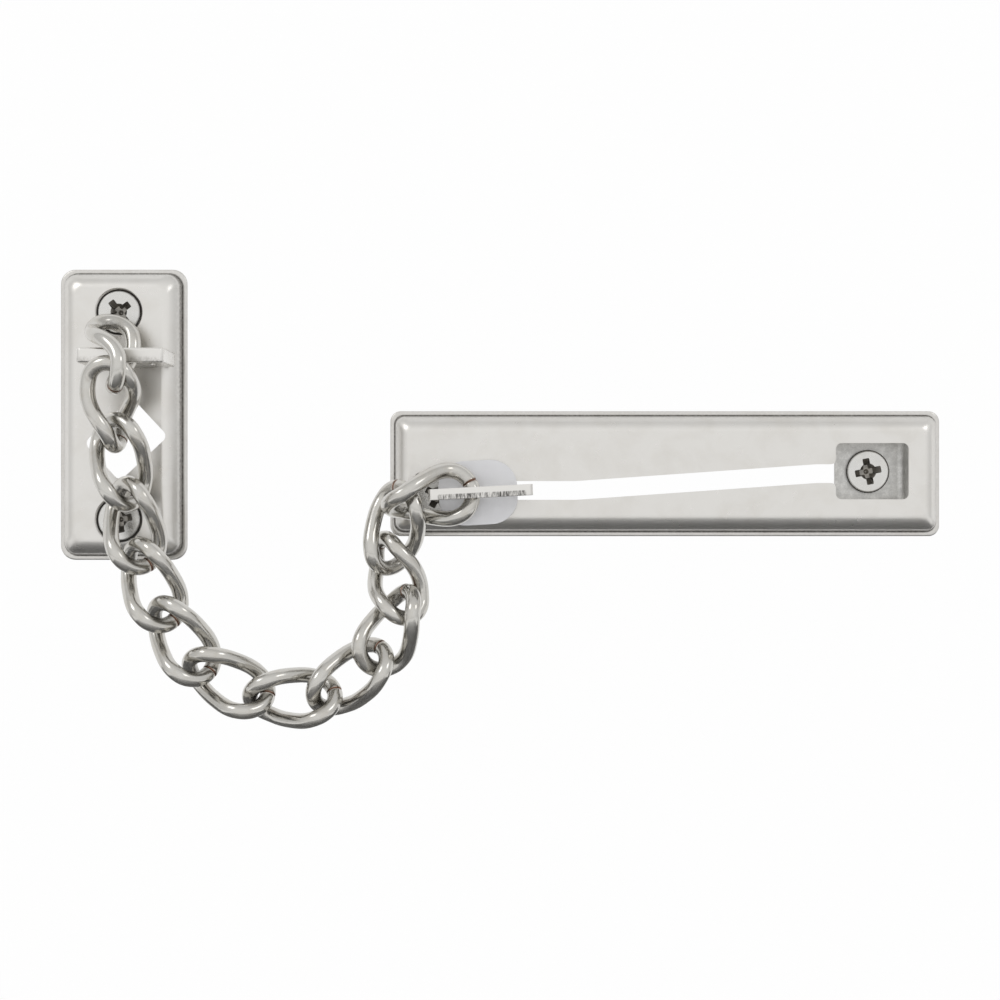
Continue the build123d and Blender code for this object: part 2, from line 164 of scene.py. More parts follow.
class StudioSettings(bpy.types.PropertyGroup):
    lamp: size("Lamp", "Power that both softboxes are set by, in watts", 0.25, unit="POWER")
    angle: size("View Angle", "Angle of view of the camera", radians(36.27), subtype="ANGLE")
    distance: size("Distance", "Distance of the camera from the wall", 0.29, unit="LENGTH")


# Modelling steps

def set_mode(name):
    """Go to edit mode or object mode."""
    bpy.ops.object.mode_set(mode=name)


def select_only(*pieces):
    """Leave edit mode and select these pieces alone, the first one active."""
    if bpy.context.mode != "OBJECT":
        set_mode("OBJECT")
    bpy.ops.object.select_all(action="DESELECT")
    for piece in pieces:
        piece.select_set(True)
    if pieces:
        bpy.context.view_layer.objects.active = pieces[0]


def edit(piece, everything=True):
    """Open a piece in edit mode with all or nothing of it selected."""
    select_only(piece)
    set_mode("EDIT")
    bpy.ops.mesh.select_mode(type="VERT")
    bpy.ops.mesh.select_all(action="SELECT" if everything else "DESELECT")


def pick(piece, elements, chosen, kind="VERT"):
    """Open a piece in edit mode with the chosen vertices, edges or polygons selected."""
    edit(piece, everything=False)
    set_mode("OBJECT")
    for element in getattr(piece.data, elements):
        element.select = chosen(element)
    set_mode("EDIT")
    bpy.ops.mesh.select_mode(type=kind)


def pull_edges(*move):
    """Extrude the selected edges."""
    bpy.ops.mesh.extrude_edges_move(TRANSFORM_OT_translate={"value": move})


def bend_edges(radius, steps, side_way, end_way):
    """Extrude the selected edges round a quarter bend, at first along one way and at last against the other."""
    for step in range(steps):
        start, end = pi / 2 * step / steps, pi / 2 * (step + 1) / steps
        aside, onward = radius * (sin(end) - sin(start)), radius * (cos(end) - cos(start))
        pull_edges(*(aside * a + onward * b for a, b in zip(side_way, end_way)))


def face_out(inside=False):
    """Turn all faces of the piece in edit mode outwards, or inwards, and leave edit mode."""
    bpy.ops.mesh.select_all(action="SELECT")
    bpy.ops.mesh.normals_make_consistent(inside=inside)
    set_mode("OBJECT")


def solid_box(node):
    """Lowest and highest corner of a node's solid in millimetres, and its middle as the viewer sees it."""
    low, high = (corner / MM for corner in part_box(node))
    return low, high, ((low.x + high.x) / 2, (low.z + high.z) / 2)


def apply_modifier(piece, kind, **settings):
    """Add a modifier with its settings and apply it."""
    select_only(piece)
    modifier = piece.modifiers.new(kind, kind)
    for name, value in settings.items():
        setattr(modifier, name, value)
    bpy.ops.object.modifier_apply(modifier=modifier.name)


def round_corners(piece, chosen, radius, steps=8):
    """Round the corners of a flat outline that a test of their place chooses."""
    pick(piece, "vertices", lambda vertex: chosen(vertex.co))
    bpy.ops.mesh.bevel(offset=radius, segments=steps, affect="VERTICES", clamp_overlap=False)
    set_mode("OBJECT")


def outline_sheet(name, corners, level):
    """Flat sheet facing the viewer at a level before the wall, its corners anticlockwise as the viewer sees them."""
    select_only()
    bpy.ops.mesh.primitive_circle_add(vertices=len(corners), fill_type="NGON", rotation=(pi / 2, 0, 0))
    piece = bpy.context.object
    piece.name = name
    bpy.ops.object.transform_apply()
    for vertex, (x, z) in zip(piece.data.vertices, corners):
        vertex.co = (x, -level, z)
    return piece


def rounded_sheet(name, centre, width, height, corner, level, steps=8):
    """Flat rounded rectangle facing the viewer at a level before the wall."""
    x, z = centre
    corners = [(x + u * width / 2, z + v * height / 2) for u, v in ((-1, -1), (1, -1), (1, 1), (-1, 1))]
    piece = outline_sheet(name, corners, level)
    if corner:
        round_corners(piece, lambda place: True, corner, steps)
    return piece


def press(piece, centre, width, height, corner, profile):
    """Raise a rounded outline by steps, each an inset from it and a level before the wall, and close its front."""
    halves = ((0, centre[0], width / 2), (2, centre[1], height / 2))
    edit(piece)
    bpy.ops.mesh.delete(type="ONLY_FACE")
    bpy.ops.mesh.select_mode(type="EDGE")
    bpy.ops.mesh.select_all(action="SELECT")
    for (inset, level), (next_inset, next_level) in zip(profile, profile[1:]):
        pull_edges(0, level - next_level, 0)
        set_mode("OBJECT")
        radius, next_radius = corner - CORNER_SHRINK * inset, corner - CORNER_SHRINK * next_inset
        for vertex in piece.data.vertices:
            if not vertex.select:
                continue
            for axis, middle, half in halves:
                side = 1 if vertex.co[axis] > middle else -1
                spoke = (side * (vertex.co[axis] - middle) - (half - inset - radius)) / radius
                vertex.co[axis] = middle + side * (half - next_inset - next_radius + spoke * next_radius)
        set_mode("EDIT")
    bpy.ops.mesh.edge_face_add()
    face_out()
    face_viewer(piece)


def face_viewer(piece):
    """Turn a sheet's normals so that its largest face looks at the viewer."""
    front = max(piece.data.polygons, key=lambda face: face.area)
    if front.normal.y > 0:
        edit(piece)
        bpy.ops.mesh.flip_normals()
        set_mode("OBJECT")


def thicken(piece, depth):
    """Give a sheet its thickness, away from the viewer."""
    apply_modifier(piece, "SOLIDIFY", thickness=depth, offset=-1, use_even_offset=True)


def cut(piece, cutter):
    """Cut one piece with another, which is used up."""
    apply_modifier(piece, "BOOLEAN", operation="DIFFERENCE", solver="EXACT", object=cutter)
    bpy.data.objects.remove(cutter)


def punch(plate, outline, turned=0, centre=None):
    """Punch an opening through a plate, with an outline that stands before it and may be turned."""
    thicken(outline, bpy.context.scene.door_chain_plates.sheet + 2)
    if turned:
        turn(outline, turned, centre)
    cut(plate, outline)


def break_edges(piece, width, angle=42, steps=2):
    """Round a piece's sharp edges a little, as punching and plating leave them."""
    apply_modifier(
        piece, "BEVEL", width=width, segments=steps, limit_method="ANGLE", angle_limit=radians(angle),
        use_clamp_overlap=True, miter_outer="MITER_ARC",
    )


def turn(piece, degrees, centre):
    """Turn a piece in the plane of the wall, anticlockwise as the viewer sees it."""
    spin = Matrix.Rotation(radians(-degrees), 4, "Y")
    place = Matrix.Translation(Vector((centre[0], 0, centre[1])))
    piece.data.transform(place @ spin @ place.inverted())


def join(piece, *others):
    """Join pieces into the first one."""
    select_only(piece, *others)
    bpy.ops.object.join()
    return piece


def paint(piece, name, share):
    """Write a share between 0 and 1 for each point of a piece, worked out from its place."""
    layer = piece.data.attributes.get(name) or piece.data.attributes.new(name, "FLOAT", "POINT")
    for vertex, value in zip(piece.data.vertices, layer.data):
        value.value = share(vertex.co)


def complete(piece, body, node, slot, *materials, smooth=SMOOTH_ANGLE, flats=True):
    """Bring a finished piece to metres, give it its finish and let it stand for its solid."""
    select_only(piece)
    piece.scale = (MM, MM, MM)
    bpy.ops.object.transform_apply()
    bpy.ops.object.shade_smooth_by_angle(angle=radians(smooth))
    if flats:
        apply_modifier(piece, "WEIGHTED_NORMAL", keep_sharp=True, weight=50)
    for material in materials:
        piece.data.materials.append(material)
    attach(piece, body)
    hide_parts(node)


# Materials

def add_node(tree, kind, inputs=None, **settings):
    """Add a shader node with its settings, values and links. A node among the values stands for its output."""
    made = tree.nodes.new("ShaderNode" + kind)
    for name, value in settings.items():
        setattr(made, name, value)
    for socket, value in (inputs or {}).items():
        if isinstance(value, bpy.types.Node):
            value = next(output for output in value.outputs if output.enabled)
        if isinstance(value, bpy.types.NodeSocket):
            tree.links.new(value, made.inputs[socket])
        else:
            made.inputs[socket].default_value = value
    return made


def start_nodes(owner):
    """Empty the nodes of a new material or world, and return it with its node tree."""
    owner.use_nodes = True
    owner.node_tree.nodes.clear()
    return owner, owner.node_tree


def metal_surface(tree, tone, roughness, height, strength, relief_mm):
    """End a metal's nodes with its relief, its colour and its polish."""
    bump = add_node(tree, "Bump", {"Height": height, "Strength": strength, "Distance": relief_mm * MM})
    shader = add_node(
        tree, "BsdfPrincipled", {"Base Color": tone, "Metallic": 1.0, "Roughness": roughness, "Normal": bump})
    add_node(tree, "OutputMaterial", {"Surface": shader})


def nickel(name, colour, roughness, mottle_mm, mottle, grain_mm, relief_mm, wear=0.35):
    """Nickel plate over steel. A film of handling mottles it in patches a few millimetres wide, its grain comes from
    the blank below, painted shade and some soiling darken and dull it where the piece's soil attribute says, and bare
    steel has browned where its joint attribute says."""
    colours = bpy.context.scene.door_chain_colours
    material, tree = start_nodes(bpy.data.materials.new(name))
    place = add_node(tree, "TexCoord").outputs["Object"]
    patches = add_node(
        tree, "TexNoise",
        {"Vector": place, "Scale": 1 / (mottle_mm * MM), "Detail": 4.0, "Roughness": 0.6, "Distortion": 0.4})
    film = add_node(
        tree, "MapRange", {"Value": patches, "From Min": 0.45, "From Max": 0.72, "To Min": 0.0, "To Max": mottle})
    bright = add_node(tree, "Mix", {"Factor": film, "A": colour, "B": colours.stain[:]}, data_type="RGBA")
    soil = add_node(tree, "Attribute", attribute_name="soil").outputs["Fac"]
    speckle = add_node(tree, "TexNoise", {"Vector": place, "Scale": 1 / (0.5 * MM), "Detail": 3.0, "Roughness": 0.7})
    uneven = add_node(
        tree, "MapRange", {"Value": speckle, "From Min": 0.3, "From Max": 0.7, "To Min": 0.35, "To Max": 1.0})
    patchy = add_node(tree, "Math", {0: soil, 1: uneven}, operation="MULTIPLY")
    packed = add_node(tree, "MapRange", {"Value": soil, "From Min": 0.85, "From Max": 0.98})
    # Painted shade and soiling together: this share darkens the colour and dulls the polish.
    dirt_and_shade = add_node(tree, "Math", {0: patchy, 1: packed}, operation="MAXIMUM")
    soiled_and_shaded = add_node(tree, "Mix", {"Factor": dirt_and_shade, "A": bright, "B": colours.grime_and_shade[:]}, data_type="RGBA")
    joint = add_node(tree, "Attribute", attribute_name="joint").outputs["Fac"]
    browned = add_node(tree, "Mix", {"Factor": joint, "A": soiled_and_shaded, "B": colours.rust[:]}, data_type="RGBA")
    rub = add_node(
        tree, "TexNoise", {"Vector": place, "Scale": 1 / (mottle_mm * 0.4 * MM), "Detail": 5.0, "Roughness": 0.65})
    sheen = add_node(
        tree, "MapRange",
        {"Value": rub, "From Min": 0.3, "From Max": 0.7,
         "To Min": roughness * (1 - wear), "To Max": roughness * (1 + wear)})
    matt = add_node(tree, "Math", {0: dirt_and_shade, 1: 0.35, 2: sheen}, operation="MULTIPLY_ADD")
    blank = add_node(
        tree, "TexNoise", {"Vector": place, "Scale": 1 / (grain_mm * MM), "Detail": 5.0, "Roughness": 0.55})
    metal_surface(tree, browned, matt, blank, 1.0, relief_mm)
    return material


def sheared_steel(name, colour, dark, roughness, streak_mm, relief_mm, direction):
    """Sheared and plated edge of a blank. The shear leaves fine streaks across the edge and a torn, duller half, so
    it catches the light in short broken lines."""
    material, tree = start_nodes(bpy.data.materials.new(name))
    place = add_node(tree, "TexCoord").outputs["Object"]
    stretched = add_node(tree, "Mapping", {"Vector": place, "Scale": direction})
    streaks = add_node(
        tree, "TexNoise", {"Vector": stretched, "Scale": 1 / (streak_mm * MM), "Detail": 6.0, "Roughness": 0.75})
    torn = add_node(tree, "Attribute", attribute_name="torn").outputs["Fac"]
    depth = add_node(
        tree, "MapRange", {"Value": streaks, "From Min": 0.38, "From Max": 0.6, "To Min": 1.0, "To Max": 0.0})
    share = add_node(tree, "Math", {0: depth, 1: torn}, operation="MULTIPLY")
    tone = add_node(tree, "Mix", {"Factor": share, "A": colour, "B": dark}, data_type="RGBA")
    metal_surface(tree, tone, roughness, streaks, torn, relief_mm)
    return material


def blasted_steel(name, colour, dark, grit_mm, relief_mm):
    """Rough ground of the lanced pads, which the press tool has grained and the plating hardly reaches."""
    material, tree = start_nodes(bpy.data.materials.new(name))
    place = add_node(tree, "TexCoord").outputs["Object"]
    grit = add_node(
        tree, "TexNoise", {"Vector": place, "Scale": 1 / (grit_mm * MM), "Detail": 4.0, "Roughness": 0.7})
    clouds = add_node(tree, "TexNoise", {"Vector": place, "Scale": 1 / (6 * grit_mm * MM), "Detail": 3.0})
    both = add_node(tree, "Math", {0: grit, 1: clouds}, operation="MULTIPLY")
    share = add_node(
        tree, "MapRange", {"Value": both, "From Min": 0.14, "From Max": 0.36, "To Min": 1.0, "To Max": 0.0})
    tone = add_node(tree, "Mix", {"Factor": share, "A": colour, "B": dark}, data_type="RGBA")
    metal_surface(tree, tone, 0.5, grit, 1.0, relief_mm)
    return material


def plate_nickel():
    """The pressed plates' nickel, satin and slightly mottled."""
    made = bpy.data.materials.get("Satin nickel on pressed steel")
    colour = bpy.context.scene.door_chain_colours.plate[:]
    return made or nickel("Satin nickel on pressed steel", colour, 0.3, 6.0, 0.16, 0.3, 0.0, 0.12)


# Pressed plates

def pan_profile(sizes):
    """Insets and levels of a pan's skin, from the rim's rounded edge over the crease and the pressed shoulder."""
    lean = radians(sizes.taper)
    touch = sizes.face - sizes.shoulder + sizes.shoulder * sin(lean)
    face_inset = sizes.rim + touch * tan(lean) + sizes.shoulder * cos(lean)
    rim = [(0, 0.62), (0.03, 0.8), (0.11, 0.92), (0.26, 0.985), (0.45, 1.0), (0.75, 0.995), (0.9, 0.96), (1.0, 0.9)]
    profile = [(inset * sizes.rim, level * sizes.sheet) for inset, level in rim]
    wall_inset, wall_level = sizes.rim + WALL_WIDTH, 0.6 * sizes.face
    for share in (0.15, 0.5, 1.0):
        profile.append((
            sizes.rim + share * WALL_WIDTH, 0.9 * sizes.sheet + share * (wall_level - 0.9 * sizes.sheet)))
    steps = 16
    for step in range(1, steps + 1):
        share = step / steps
        rise = (sizes.face - wall_level) * (1 - (1 - share) ** 2)
        profile.append((wall_inset + (face_inset - wall_inset) * share, wall_level + rise))
    return profile


def pressed_pan(name, node, corner):
    """Sheet pan in the place and size of a plate's solid."""
    sizes = bpy.context.scene.door_chain_plates
    low, high, centre = solid_box(node)
    width, height = high.x - low.x, high.z - low.z
    profile = pan_profile(sizes)
    piece = rounded_sheet(name, centre, width, height, corner, profile[0][1], 12)
    press(piece, centre, width, height, corner, profile)
    thicken(piece, DRAWN * sizes.sheet)
    return piece, centre


def shade_crease(piece, node, corner):
    """Paint shade into the crease between rim and side, less of it up the side's foot, and a little on the rim
    itself.
    """
    sizes = bpy.context.scene.door_chain_plates
    low, high, _ = solid_box(node)
    foot = sizes.rim
    radius = corner - CORNER_SHRINK * foot

    def share(place):
        across = min(place.x - low.x, high.x - place.x) - foot
        along = min(place.z - low.z, high.z - place.z) - foot
        inset = min(across, along)
        if across < radius and along < radius:
            inset = radius - ((radius - across) ** 2 + (radius - along) ** 2) ** 0.5
        if -place.y < DRAWN * sizes.sheet or -place.y > sizes.face - 0.4:
            return 0.0
        if inset < -0.14:
            return 0.15
        return 0.75 if inset < 0.8 * WALL_WIDTH else max(0.0, 0.25 * (1.3 - inset))

    paint(piece, "soil", share)


def dimple(centre, level, radius, bore, depth, sheet):
    """Ring of sheet that the punch has pushed back round a screw."""
    x, z = centre
    select_only()
    bpy.ops.mesh.primitive_circle_add(
        vertices=64, radius=bore, location=(x, -(level - depth), z), rotation=(pi / 2, 0, 0))
    ring = bpy.context.object
    bpy.ops.object.transform_apply()
    edit(ring)
    pull_edges(0, -depth, 0)
    scale = radius / bore
    bpy.ops.transform.resize(value=(scale, 1, scale), center_override=(x, -level, z))
    face_out(inside=True)
    thicken(ring, sheet * 0.8)
    return ring


class DOORCHAIN_OT_holder_plate(bpy.types.Operator):
    """Press the holder plate, with its screw seats, its parking hole and the slot of its lug"""
    bl_idname = "door_chain.holder_plate"
    bl_label = "Holder Plate"

    def execute(self, context):
        sizes = context.scene.door_chain_plates
        screws = context.scene.door_chain_screws
        plate, _ = pressed_pan("holder_plate_pressed", "holder_plate", sizes.holder_corner)
        slope = tan(radians(screws.angle / 2))
        seat = screws.head / 2 + 0.45
        bore = screws.shank / 2 + 0.15
        above, below, lip = 0.5, 2.0, 0.7
        for height in HOLDER_SCREWS:
            select_only()
            bpy.ops.mesh.primitive_cone_add(
                vertices=64, radius1=seat + above * slope, radius2=seat - below * slope, depth=above + below,
                location=(0, -sizes.face + (below - above) / 2, height), rotation=(-pi / 2, 0, 0))
            cut(plate, context.object)
        parking = rounded_sheet("parking", PARKING_CENTRE, *PARKING_SIZE, PARKING_CORNER, sizes.face + 1)
        punch(plate, parking, PARKING_TURN, PARKING_CENTRE)
        punch(plate, rounded_sheet("tenon", TENON_CENTRE, *TENON_SIZE, 0, sizes.face + 1))
        break_edges(plate, PUNCHED_EDGE)
        depth = (seat - bore) / slope - lip
        join(plate, *(
            dimple((0, height), sizes.face - lip, seat - lip * slope, bore, depth, sizes.sheet)
            for height in HOLDER_SCREWS))
        shade_crease(plate, "holder_plate", sizes.holder_corner)
        complete(plate, "wall_parts", "holder_plate", "plate_nickel", plate_nickel())
        return {"FINISHED"}


def lanced_pad(name, centre, width, height, sizes, side):
    """Pad that is lanced out below an opening and bent back up to the face on one side."""
    x, z = centre
    bend, gap, lap, below_face = 1.2, 0.7, 0.6, 0.6
    near = x - side * (width / 2 - gap)
    far = x + side * (width / 2 - bend)
    left, right = sorted((near, far))
    pad = rounded_sheet(name, ((left + right) / 2, z), right - left, height + lap, 0, PAD_LEVEL)
    pick(pad, "vertices", lambda vertex: abs(vertex.co.x - far) < 0.01, "EDGE")
    bend_edges(bend, 8, (side, 0, 0), (0, 1, 0))
    pull_edges(0, -(sizes.face - below_face - PAD_LEVEL - bend), 0)
    face_out()
    face_viewer(pad)
    thicken(pad, sizes.sheet)
    return pad


def track_openings(sizes, centre):
    """Corners of the slot with the keyhole at its end, anticlockwise, and the middles of keyhole and window."""
    x, z = centre
    half = sizes.slot / 2
    start, bend = x - SLOT_START, x - SLOT_BEND
    key = x + KEYHOLE_X
    crest = key - SLOT_LEVEL
    low = z - SLOT_DROP
    high = low + (crest - bend) * tan(radians(SLOT_SLANT))
    key_z = high + KEYHOLE_LIFT
    left, right = key - sizes.keyhole_width / 2, key + sizes.keyhole_width / 2
    bottom, top = key_z - sizes.keyhole_height / 2, key_z + sizes.keyhole_height / 2
    corners = [
        (start, low - half), (bend, low - half), (crest, high - half), (left, high - half), (left, bottom),
        (right, bottom), (right, top), (left, top), (left, high + half), (crest, high + half),
        (bend, low + half), (start, low + half),
    ]
    return corners, (key, key_z), (start - WINDOW_GAP - sizes.window / 2, z - WINDOW_DROP)


class DOORCHAIN_OT_track_plate(bpy.types.Operator):
    """Press the track plate, with its slanted slot, its keyhole and the sunken pads of its screws"""
    bl_idname = "door_chain.track_plate"
    bl_label = "Track Plate"

    def execute(self, context):
        sizes = context.scene.door_chain_plates
        screws = context.scene.door_chain_screws
        plate, centre = pressed_pan("track_plate_pressed", "track_plate", sizes.track_corner)
        corners, key, window_centre = track_openings(sizes, centre)

        def near(spots):
            return lambda place: min(abs(place.x - x) + abs(place.z - z) for x, z in spots) < 0.01

        slot = outline_sheet("slot", corners, sizes.face + 1)
        round_corners(slot, near(corners[4:8]), sizes.corner)
        round_corners(slot, near((corners[3], corners[8])), SLOT_MOUTH, 5)
        punch(plate, slot)
        window = rounded_sheet("window", window_centre, sizes.window, sizes.window, sizes.corner, sizes.face + 1)
        punch(plate, window)
        break_edges(plate, PUNCHED_EDGE)
        shade_crease(plate, "track_plate", sizes.track_corner)
        pads = [
            lanced_pad("keyhole_pad", key, sizes.keyhole_width, sizes.keyhole_height, sizes, 1),
            lanced_pad("window_pad", window_centre, sizes.window, sizes.window, sizes, -1),
        ]
        for pad, (x, z) in zip(pads, (key, window_centre)):
            select_only()
            bpy.ops.mesh.primitive_cylinder_add(
                vertices=48, radius=screws.head / 2 - 0.35, depth=4, location=(x, 0, z), rotation=(pi / 2, 0, 0))
            cut(pad, context.object)
            break_edges(pad, 0.1)
        pads[0].data.materials.append(blasted_steel(
            "Grained steel of the lanced pads", linear("d6d5d2"), linear("bab9b6"), 0.2, 0.02))
        pads[1].data.materials.append(pads[0].data.materials[0])
        plate.data.materials.append(plate_nickel())
        join(plate, *pads)
        complete(plate, "wall_parts", "track_plate", "plate_nickel")
        return {"FINISHED"}


# Lugs and slider

def flat_lug(name, corners, rounded, radius, bottom, thickness):
    """Level blank of a lug, its corners anticlockwise from above, with some of them rounded."""
    select_only()
    bpy.ops.mesh.primitive_circle_add(vertices=len(corners), fill_type="NGON")
    piece = bpy.context.object
    piece.name = name
    for vertex, (x, y) in zip(piece.data.vertices, corners):
        vertex.co = (x, y, bottom + thickness)
    round_corners(piece, lambda place: min(abs(place.x - x) + abs(place.y - y) for x, y in rounded) < 0.01, radius)
    thicken(piece, thickness)
    return piece


def shear_front(piece, front, cuts):
    """Give the faces at a blank's front edge their own finish, and cut them along planes, so that it can change
    there."""
    def sheared(face):
        return face.normal.y < -0.6 and face.center.y < front + 0.5

    for face in piece.data.polygons:
        if sheared(face):
            face.material_index = 1
    for place, normal in cuts:
        pick(piece, "polygons", sheared, "FACE")
        bpy.ops.mesh.bisect(plane_co=place, plane_no=normal)
        set_mode("OBJECT")


class DOORCHAIN_OT_holder_lug(bpy.types.Operator):
    """Blank out the holder's lug and stake it through the plate"""
    bl_idname = "door_chain.holder_lug"
    bl_label = "Holder Lug"

    def execute(self, context):
        sizes = context.scene.door_chain_plates
        low, high, (x, z) = solid_box("holder_lug")
        front, back = low.y, -sizes.face
        head_back = back + sizes.sheet
        thickness, neck = 2.7, 4.5
        corners = [
            (low.x, front), (high.x, front), (high.x, back), (x + neck, back), (x + neck, head_back),
            (x - neck, head_back), (x - neck, back), (low.x, back),
        ]
        lug = flat_lug("holder_lug_blank", corners, corners[:2], 1.0, z - thickness / 2, thickness)
        hole_left, hole_right, hole_front = x - 4.6, x + 5.4, front + 2.0
        hole_back = hole_front + 4.9
        hole = [(hole_left, hole_front), (hole_right, hole_front), (hole_right, hole_back), (hole_left, hole_back)]
        cut(lug, flat_lug("hole", hole, hole, 2.0, z - thickness, 2 * thickness))
        break_edges(lug, 0.4, steps=4)
        head = rounded_sheet("head", (x, z), 2 * (neck + 0.4), thickness + 0.8, 0.3, sizes.face - sizes.sheet, 4)
        thicken(head, 0.7)
        break_edges(head, 0.15)
        join(lug, head)
        shear_front(lug, front, [((x, 0, z - drop), (0, 0, 1)) for drop in (0.1, 0.7)])
        paint(lug, "torn", lambda place: 0.55 * max(0.0, min(1.0, (z - 0.15 - place.z) / 0.5)))
        # Painted shade on the lug where it meets the plate's face.
        paint(lug, "soil", lambda place: 0.5 if abs(place.y - back) < 0.3 else 0.0)
        colours = context.scene.door_chain_colours
        complete(
            lug, "wall_parts", "holder_lug", "lug_nickel",
            nickel("Nickel on a flat steel blank", colours.plate[:], 0.28, 3.0, 0.2, 0.3, 0.001),
            sheared_steel(
                "Sheared edge of the holder lug", linear("e2e0dc"), linear("8d8a84"), 0.3, 0.7, 0.05, (1, 1, 0.5)))
        return {"FINISHED"}


class DOORCHAIN_OT_slider(bpy.types.Operator):
    """Make the slider: its lug, the collar in front of the track and the plate behind the slot"""
    bl_idname = "door_chain.slider"
    bl_label = "Slider"

    def execute(self, context):
        sizes = context.scene.door_chain_plates
        colours = context.scene.door_chain_colours
        low, _, (x, z) = solid_box("slider_collar")
        tilt = 3.0
        lug_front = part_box("slider_lug")[0].y / MM
        collar_front = low.y
        clearance = 0.2
        back = -(sizes.face - sizes.sheet - clearance - BACKPLATE_THICKNESS)
        left, right = x - 8.8, x + 10.0
        neck, thickness, hole_radius, web = 2.0, 2.0, 2.8, 1.5
        corners = [
            (left, lug_front), (right, lug_front), (right, collar_front), (x + neck, collar_front), (x + neck, back),
            (x - neck, back), (x - neck, collar_front), (left, collar_front),
        ]
        lug = flat_lug("slider_lug_blank", corners, corners[:3] + corners[7:], 0.8, z - thickness / 2, thickness)
        select_only()
        bpy.ops.mesh.primitive_cylinder_add(
            vertices=64, radius=hole_radius, depth=2 * thickness, location=(x, lug_front + web + hole_radius, z))
        cut(lug, context.object)
        break_edges(lug, 0.4, steps=4)
        head = rounded_sheet("head", (x, z), 2 * neck + 0.8, thickness + 0.8, 0.3, -back, 4)
        thicken(head, 0.4)
        join(lug, head)
        cuts = [((x, 0, z - drop), (0, 0, 1)) for drop in (0.0, 0.12)]
        cuts += [((x + way, 0, z), (1, 0, 0)) for way in (-7.2, -6.9, 0.9, 1.15, 1.4, 8.6, 8.9)]
        shear_front(lug, lug_front, cuts)
        turn(lug, tilt, (x, z))
        upright = Vector((-sin(radians(tilt)), 0, cos(radians(tilt))))
        middle = Vector((x, 0, z))

        def torn(place):
            offset = Vector((place.x, 0, place.z)) - middle
            across = offset.dot(Vector((upright.z, 0, -upright.x)))
            if not -7.0 < across < 8.7 or abs(across - 1.15) < 0.1:
                return 0.0
            return 1.0 if offset.dot(upright) < -0.1 else 0.0

        paint(lug, "torn", torn)
        complete(
            lug, "slider", "slider_lug", "lug_nickel",
            nickel("Nickel on the slider blank", colours.plate[:], 0.28, 3.0, 0.2, 0.3, 0.001),
            sheared_steel(
                "Sheared edge of the slider lug", linear("e2e0dc"), linear("403e3b"), 0.3, 0.4, 0.1, (1, 1, 0.2)))

        collar = rounded_sheet("slider_collar_washer", (x, z), *COLLAR_SIZE, COLLAR_CORNER, -collar_front, 14)
        thicken(collar, COLLAR_THICKNESS)
        break_edges(collar, 0.12)
        turn(collar, tilt, (x, z))
        complete(
            collar, "slider", "slider_collar", "slider_nickel",
            nickel("Rubbed nickel of the collar", linear("dcdcde"), 0.42, 5.0, 0.05, 0.4, 0.001, 0.1))

        level = -back + BACKPLATE_THICKNESS
        backplate = rounded_sheet("slider_backplate_blank", (x, z), *BACKPLATE_SIZE, BACKPLATE_CORNER, level, 6)
        thicken(backplate, BACKPLATE_THICKNESS)
        break_edges(backplate, 0.15)
        turn(backplate, tilt, (x, z))
        complete(
            backplate, "slider", "slider_backplate", "slider_nickel",
            nickel("Rubbed nickel of the slider's back", colours.plate[:], 0.4, 3.0, 0.35, 0.3, 0.02))
        return {"FINISHED"}


# Screws

